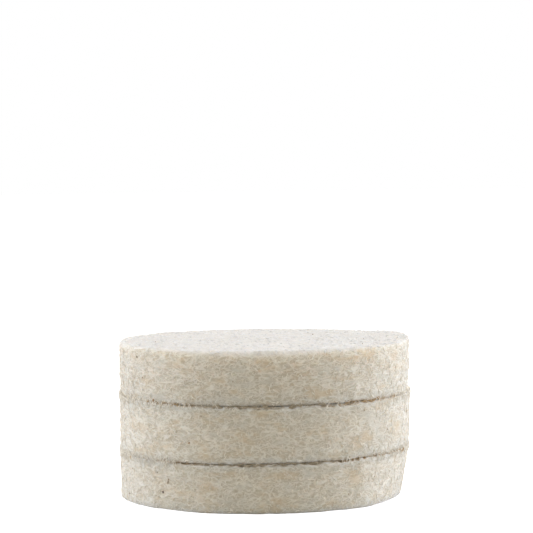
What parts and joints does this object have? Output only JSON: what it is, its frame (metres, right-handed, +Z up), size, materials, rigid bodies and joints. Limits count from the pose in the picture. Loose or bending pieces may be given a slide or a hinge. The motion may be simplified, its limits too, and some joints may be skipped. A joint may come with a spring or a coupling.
{
  "type": "felt polishing wheel",
  "caption": "Stack of loose round felt polishing wheels of pressed wool, each with a small plain bore for the screw mandrel of a rotary tool.",
  "frame": {"origin": "middle of the lowest face of the bottom wheel, which the stack stands on", "axes": "+Z runs up along the bores of all the wheels; +X and +Y lie in the wheels' faces, which are round, so neither is special"},
  "size_m": [0.0254, 0.0254, 0.0135],
  "materials": {
    "wool_felt": "matte"
  },
  "bodies": {
    "bottom": {"bottom_wheel": "wool_felt"},
    "middle": {"middle_wheel": "wool_felt"},
    "top": {"top_wheel": "wool_felt"}
  },
  "joints": [
    {"name": "middle_lift", "type": "slide", "parent": "bottom", "child": "middle", "axis": [0, 0, 1], "range_m": [0, 0.012]},
    {"name": "top_lift", "type": "slide", "parent": "middle", "child": "top", "axis": [0, 0, 1], "range_m": [0, 0.012]}
  ]
}
